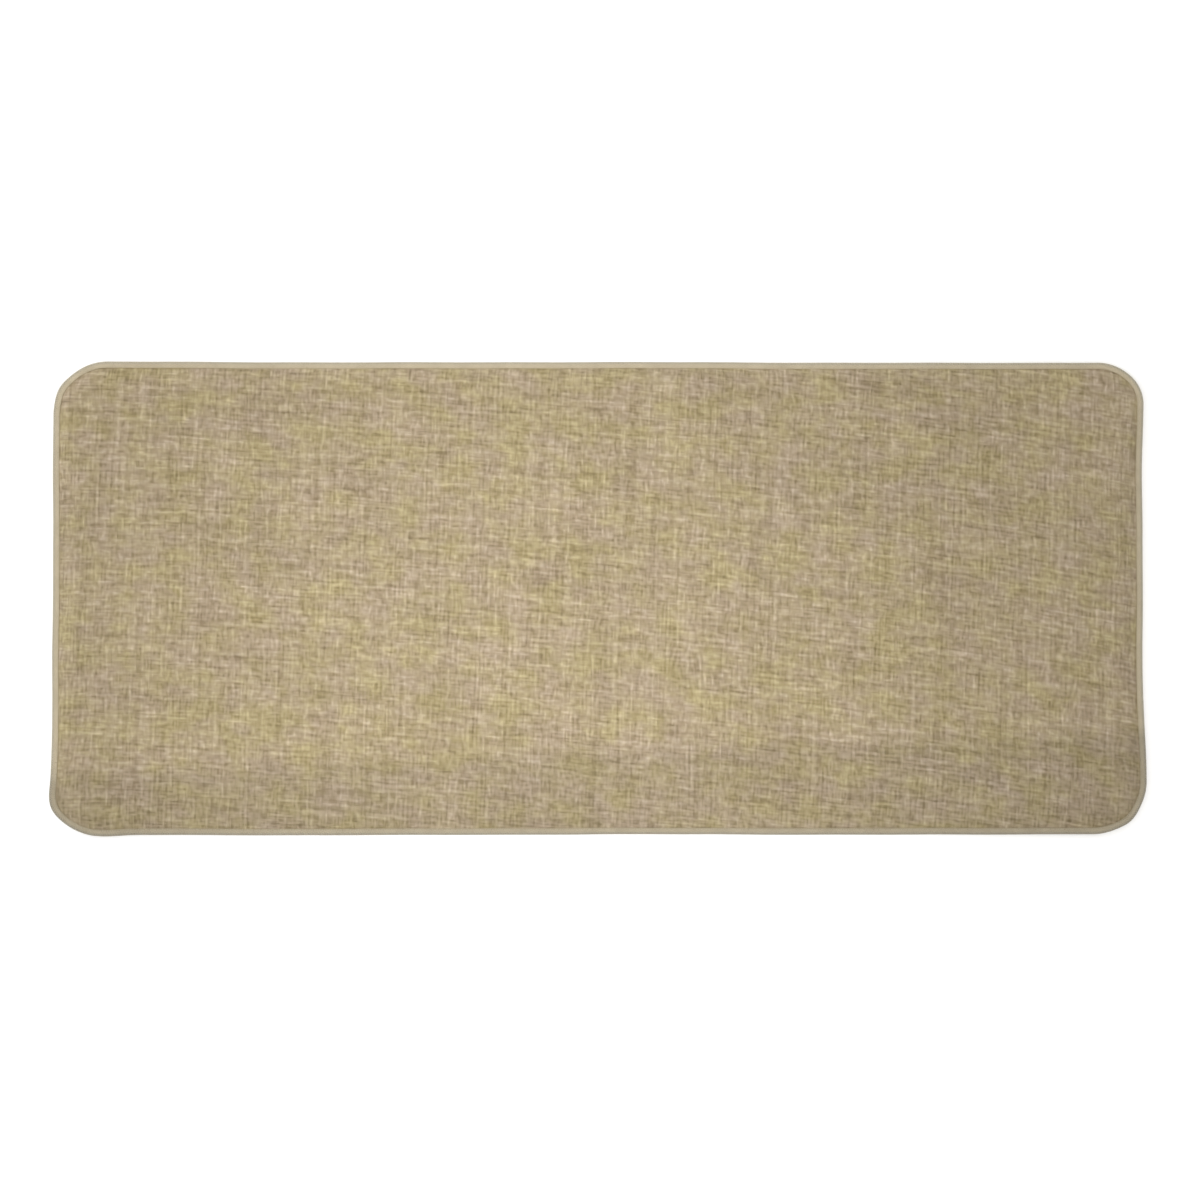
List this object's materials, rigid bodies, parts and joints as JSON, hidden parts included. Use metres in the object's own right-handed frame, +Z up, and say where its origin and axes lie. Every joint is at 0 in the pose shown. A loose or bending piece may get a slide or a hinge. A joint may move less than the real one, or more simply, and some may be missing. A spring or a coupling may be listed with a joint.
{
  "type": "anti fatigue mat",
  "caption": "Cushioned standing mat with a woven linen-look face, a foam core, a non-slip rubber net underneath and an overlocked edge.",
  "frame": {"origin": "middle of the underside, on the plane of the floor that the mat rests on", "axes": "+X along the mat's length, +Y across it towards its back edge, +Z up out of the cloth face"},
  "size_m": [1, 0.434, 0.012],
  "materials": {
    "heather_cloth": "heathered linen-look plain weave, matt",
    "adhesive_web": "open hot-melt fibre web",
    "foam": "fine open-cell foam",
    "felt": "needled felt, matt",
    "grip_rubber": "matt, fine grained",
    "seam_yarn": "bulky textured yarn, matt",
    "needle_thread": "twisted thread, slight sheen"
  },
  "bodies": {
    "root": {"face_cloth": "heather_cloth", "cloth_adhesive_web": "adhesive_web", "foam_core": "foam", "felt_adhesive_web": "adhesive_web", "backing_felt": "felt", "grip_net": "grip_rubber", "overlock_upper_looper_thread": "seam_yarn", "overlock_lower_looper_thread": "seam_yarn", "overlock_needle_thread": "needle_thread"}
  },
  "joints": []
}
